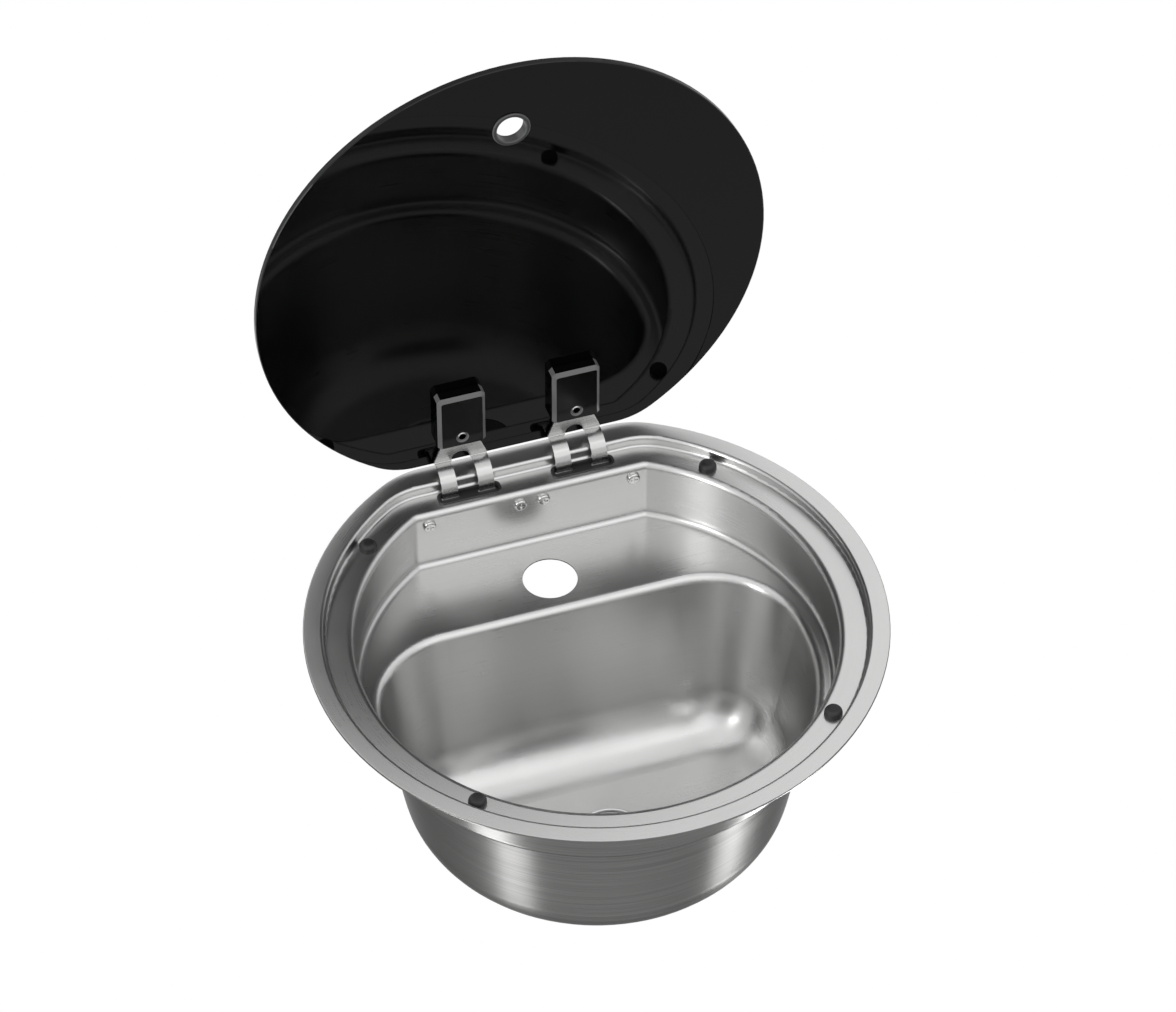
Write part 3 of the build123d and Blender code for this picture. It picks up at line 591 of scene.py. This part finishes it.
# %% [markdown]
# ## Black glass
#
# The lid is toughened glass, dark right through, with ground and polished edges. It is nearly black
# and mirrors the sink dimly. A clear coat over black would do, but plain gloss is enough, as glass is
# all one material. Faint marks make its mirror a little softer here and there.

# %% Black glass
glass_colour = (0.0008, 0.0008, 0.0009)
glass_edge_colour = (0.02, 0.02, 0.021)


def dark_glass():
    material, tree = blank_material("dark_glass")
    where = add(tree, "ShaderNodeTexCoord").outputs
    marks = place_group(tree, handling_marks, {"Place": where["Object"], "Marks per Metre": 14.0})
    edges = place_group(tree, rubbed_and_highlit_edges, {"Normal": where["Normal"]})
    colour = mix_colours(tree, edges["Edge"], glass_colour, glass_edge_colour)
    rough = dulled(tree, 0.015, marks["Mark"], by=0.012)
    show(tree, add(tree, "ShaderNodeBsdfPrincipled",
                   {"Base Color": colour, "Roughness": rough, "Specular IOR Level": 0.18}))
    return material


# %% [markdown]
# ## Plastics and rubber
#
# Holders, ring, slot trays, bushes and waste are moulded. They share one recipe: a base colour with
# a slow change of tone, the moulded skin as a small bump, and lighter edges, partly rubbed and
# partly a painted highlight. What differs is how glossy each is and how deep its skin.

# %% Plastics and rubber
darkest_tone = 0.8             # share of the colour that its darkest tone keeps
mark_dullness = 0.3            # share of the roughness that a mark adds
skin_depth = 0.00005


def moulded(name, colour, edge_wear_and_highlight_colour, roughness, skin_strength, cells_per_metre, specular):
    """A moulded finish: tone, skin, marks and lighter edges, partly wear and partly painted highlight, on
    one colour.
    """
    material, tree = blank_material(name)
    where = add(tree, "ShaderNodeTexCoord").outputs
    place = where["Object"]
    skin = place_group(tree, moulded_skin, {"Place": place, "Cells per Metre": cells_per_metre})
    edges = place_group(tree, rubbed_and_highlit_edges, {"Normal": where["Normal"]})
    marks = place_group(tree, handling_marks, {"Place": place, "Marks per Metre": 60.0})
    darker = tuple(darkest_tone * part for part in colour)
    body = mix_colours(tree, skin["Tone"], darker, colour)
    shade = mix_colours(tree, edges["Edge"], body, edge_wear_and_highlight_colour)
    rough = dulled(tree, roughness, marks["Mark"], by=mark_dullness * roughness)
    bump = add(tree, "ShaderNodeBump",
               {"Strength": skin_strength, "Distance": skin_depth, "Height": skin["Height"]})
    show(tree, add(tree, "ShaderNodeBsdfPrincipled",
                   {"Base Color": shade, "Roughness": rough, "Normal": bump.outputs[0],
                    "Specular IOR Level": specular}))
    return material


# %% The finishes
finishes = {
    "pressed_steel": pressed_steel(),
    "hinge_steel": strip_steel(),
    "fastener_steel": turned_steel("fastener_steel", False),
    "dark_glass": dark_glass(),
}
# colour, colour of the edges (wear and painted highlight), roughness, strength of the skin, its cells per
# metre, specular level
mouldings = {
    "ring_plastic": ((0.035, 0.035, 0.036), (0.09, 0.09, 0.092), 0.35, 0.3, 2500.0, 0.4),
    # the holders' much lighter edge colour is a painted highlight on their chamfers
    "holder_plastic": ((0.002, 0.002, 0.002), (0.16, 0.16, 0.16), 0.06, 0.02, 1500.0, 0.22),
    "insert_plastic": ((0.03, 0.03, 0.031), (0.08, 0.08, 0.08), 0.38, 0.4, 2500.0, 0.4),
    "bush_plastic": ((0.62, 0.61, 0.57), (0.66, 0.65, 0.61), 0.4, 0.2, 2500.0, 0.5),
    "black_rubber": ((0.018, 0.018, 0.018), (0.03, 0.03, 0.03), 0.42, 0.5, 2200.0, 0.4),
    "waste_plastic": ((0.62, 0.62, 0.6), (0.68, 0.68, 0.66), 0.32, 0.15, 2500.0, 0.5),
}
for name, values in mouldings.items():
    finishes[name] = moulded(name, *values)
print("finishes:", sorted(finishes))

# %% [markdown]
# ## Who wears what
#
# The record of the imported model names a material for each piece, and each name has its finish here.
# Three pieces need more than that: the wall screws have a thread, and the two grub screws have black
# painted shade inside their sockets. They get a finish of their own.

# %% Give each node its finish
slots = {row["node"]: row["material_slot"] for row in frame["record"]["subparts"]}
grub_screw_steel = socket_shaded_steel()
own_finish = {
    "wall_screws": turned_steel("threaded_steel", True),
    "grub_screw_left": grub_screw_steel,
    "grub_screw_right": grub_screw_steel,
}
for name, node in nodes.items():
    node.data.materials.clear()
    node.data.materials.append(own_finish.get(name, finishes[slots[name]]))
print("pieces with a finish:", len(nodes), "of which their own:", len(own_finish))

# %% [markdown]
# ## Broken edges
#
# No real edge is perfectly sharp: strip is tumbled after it is stamped, and mouldings have a small
# radius. A bevel modifier on each sharp piece catches a thin line of light there. It works on the
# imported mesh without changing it.

# %% Broken edges
edge_breaks = {
    "hinge_arm": 0.00022,
    "hinge_base": 0.0003,
    "glass_holder": 0.0002,
    "slot_insert": 0.00015,
    "wall_nuts": 0.0003,
    "pin_clip": 0.0001,
}
edge_steps = 2
sharp_from = math.radians(35)

for name, node in nodes.items():
    for start, width in edge_breaks.items():
        if name.startswith(start):
            bevel = node.modifiers.new("broken_edges", "BEVEL")
            bevel.width = width
            bevel.segments = edge_steps
            bevel.limit_method = "ANGLE"
            bevel.angle_limit = sharp_from
            print("edges broken on", name)
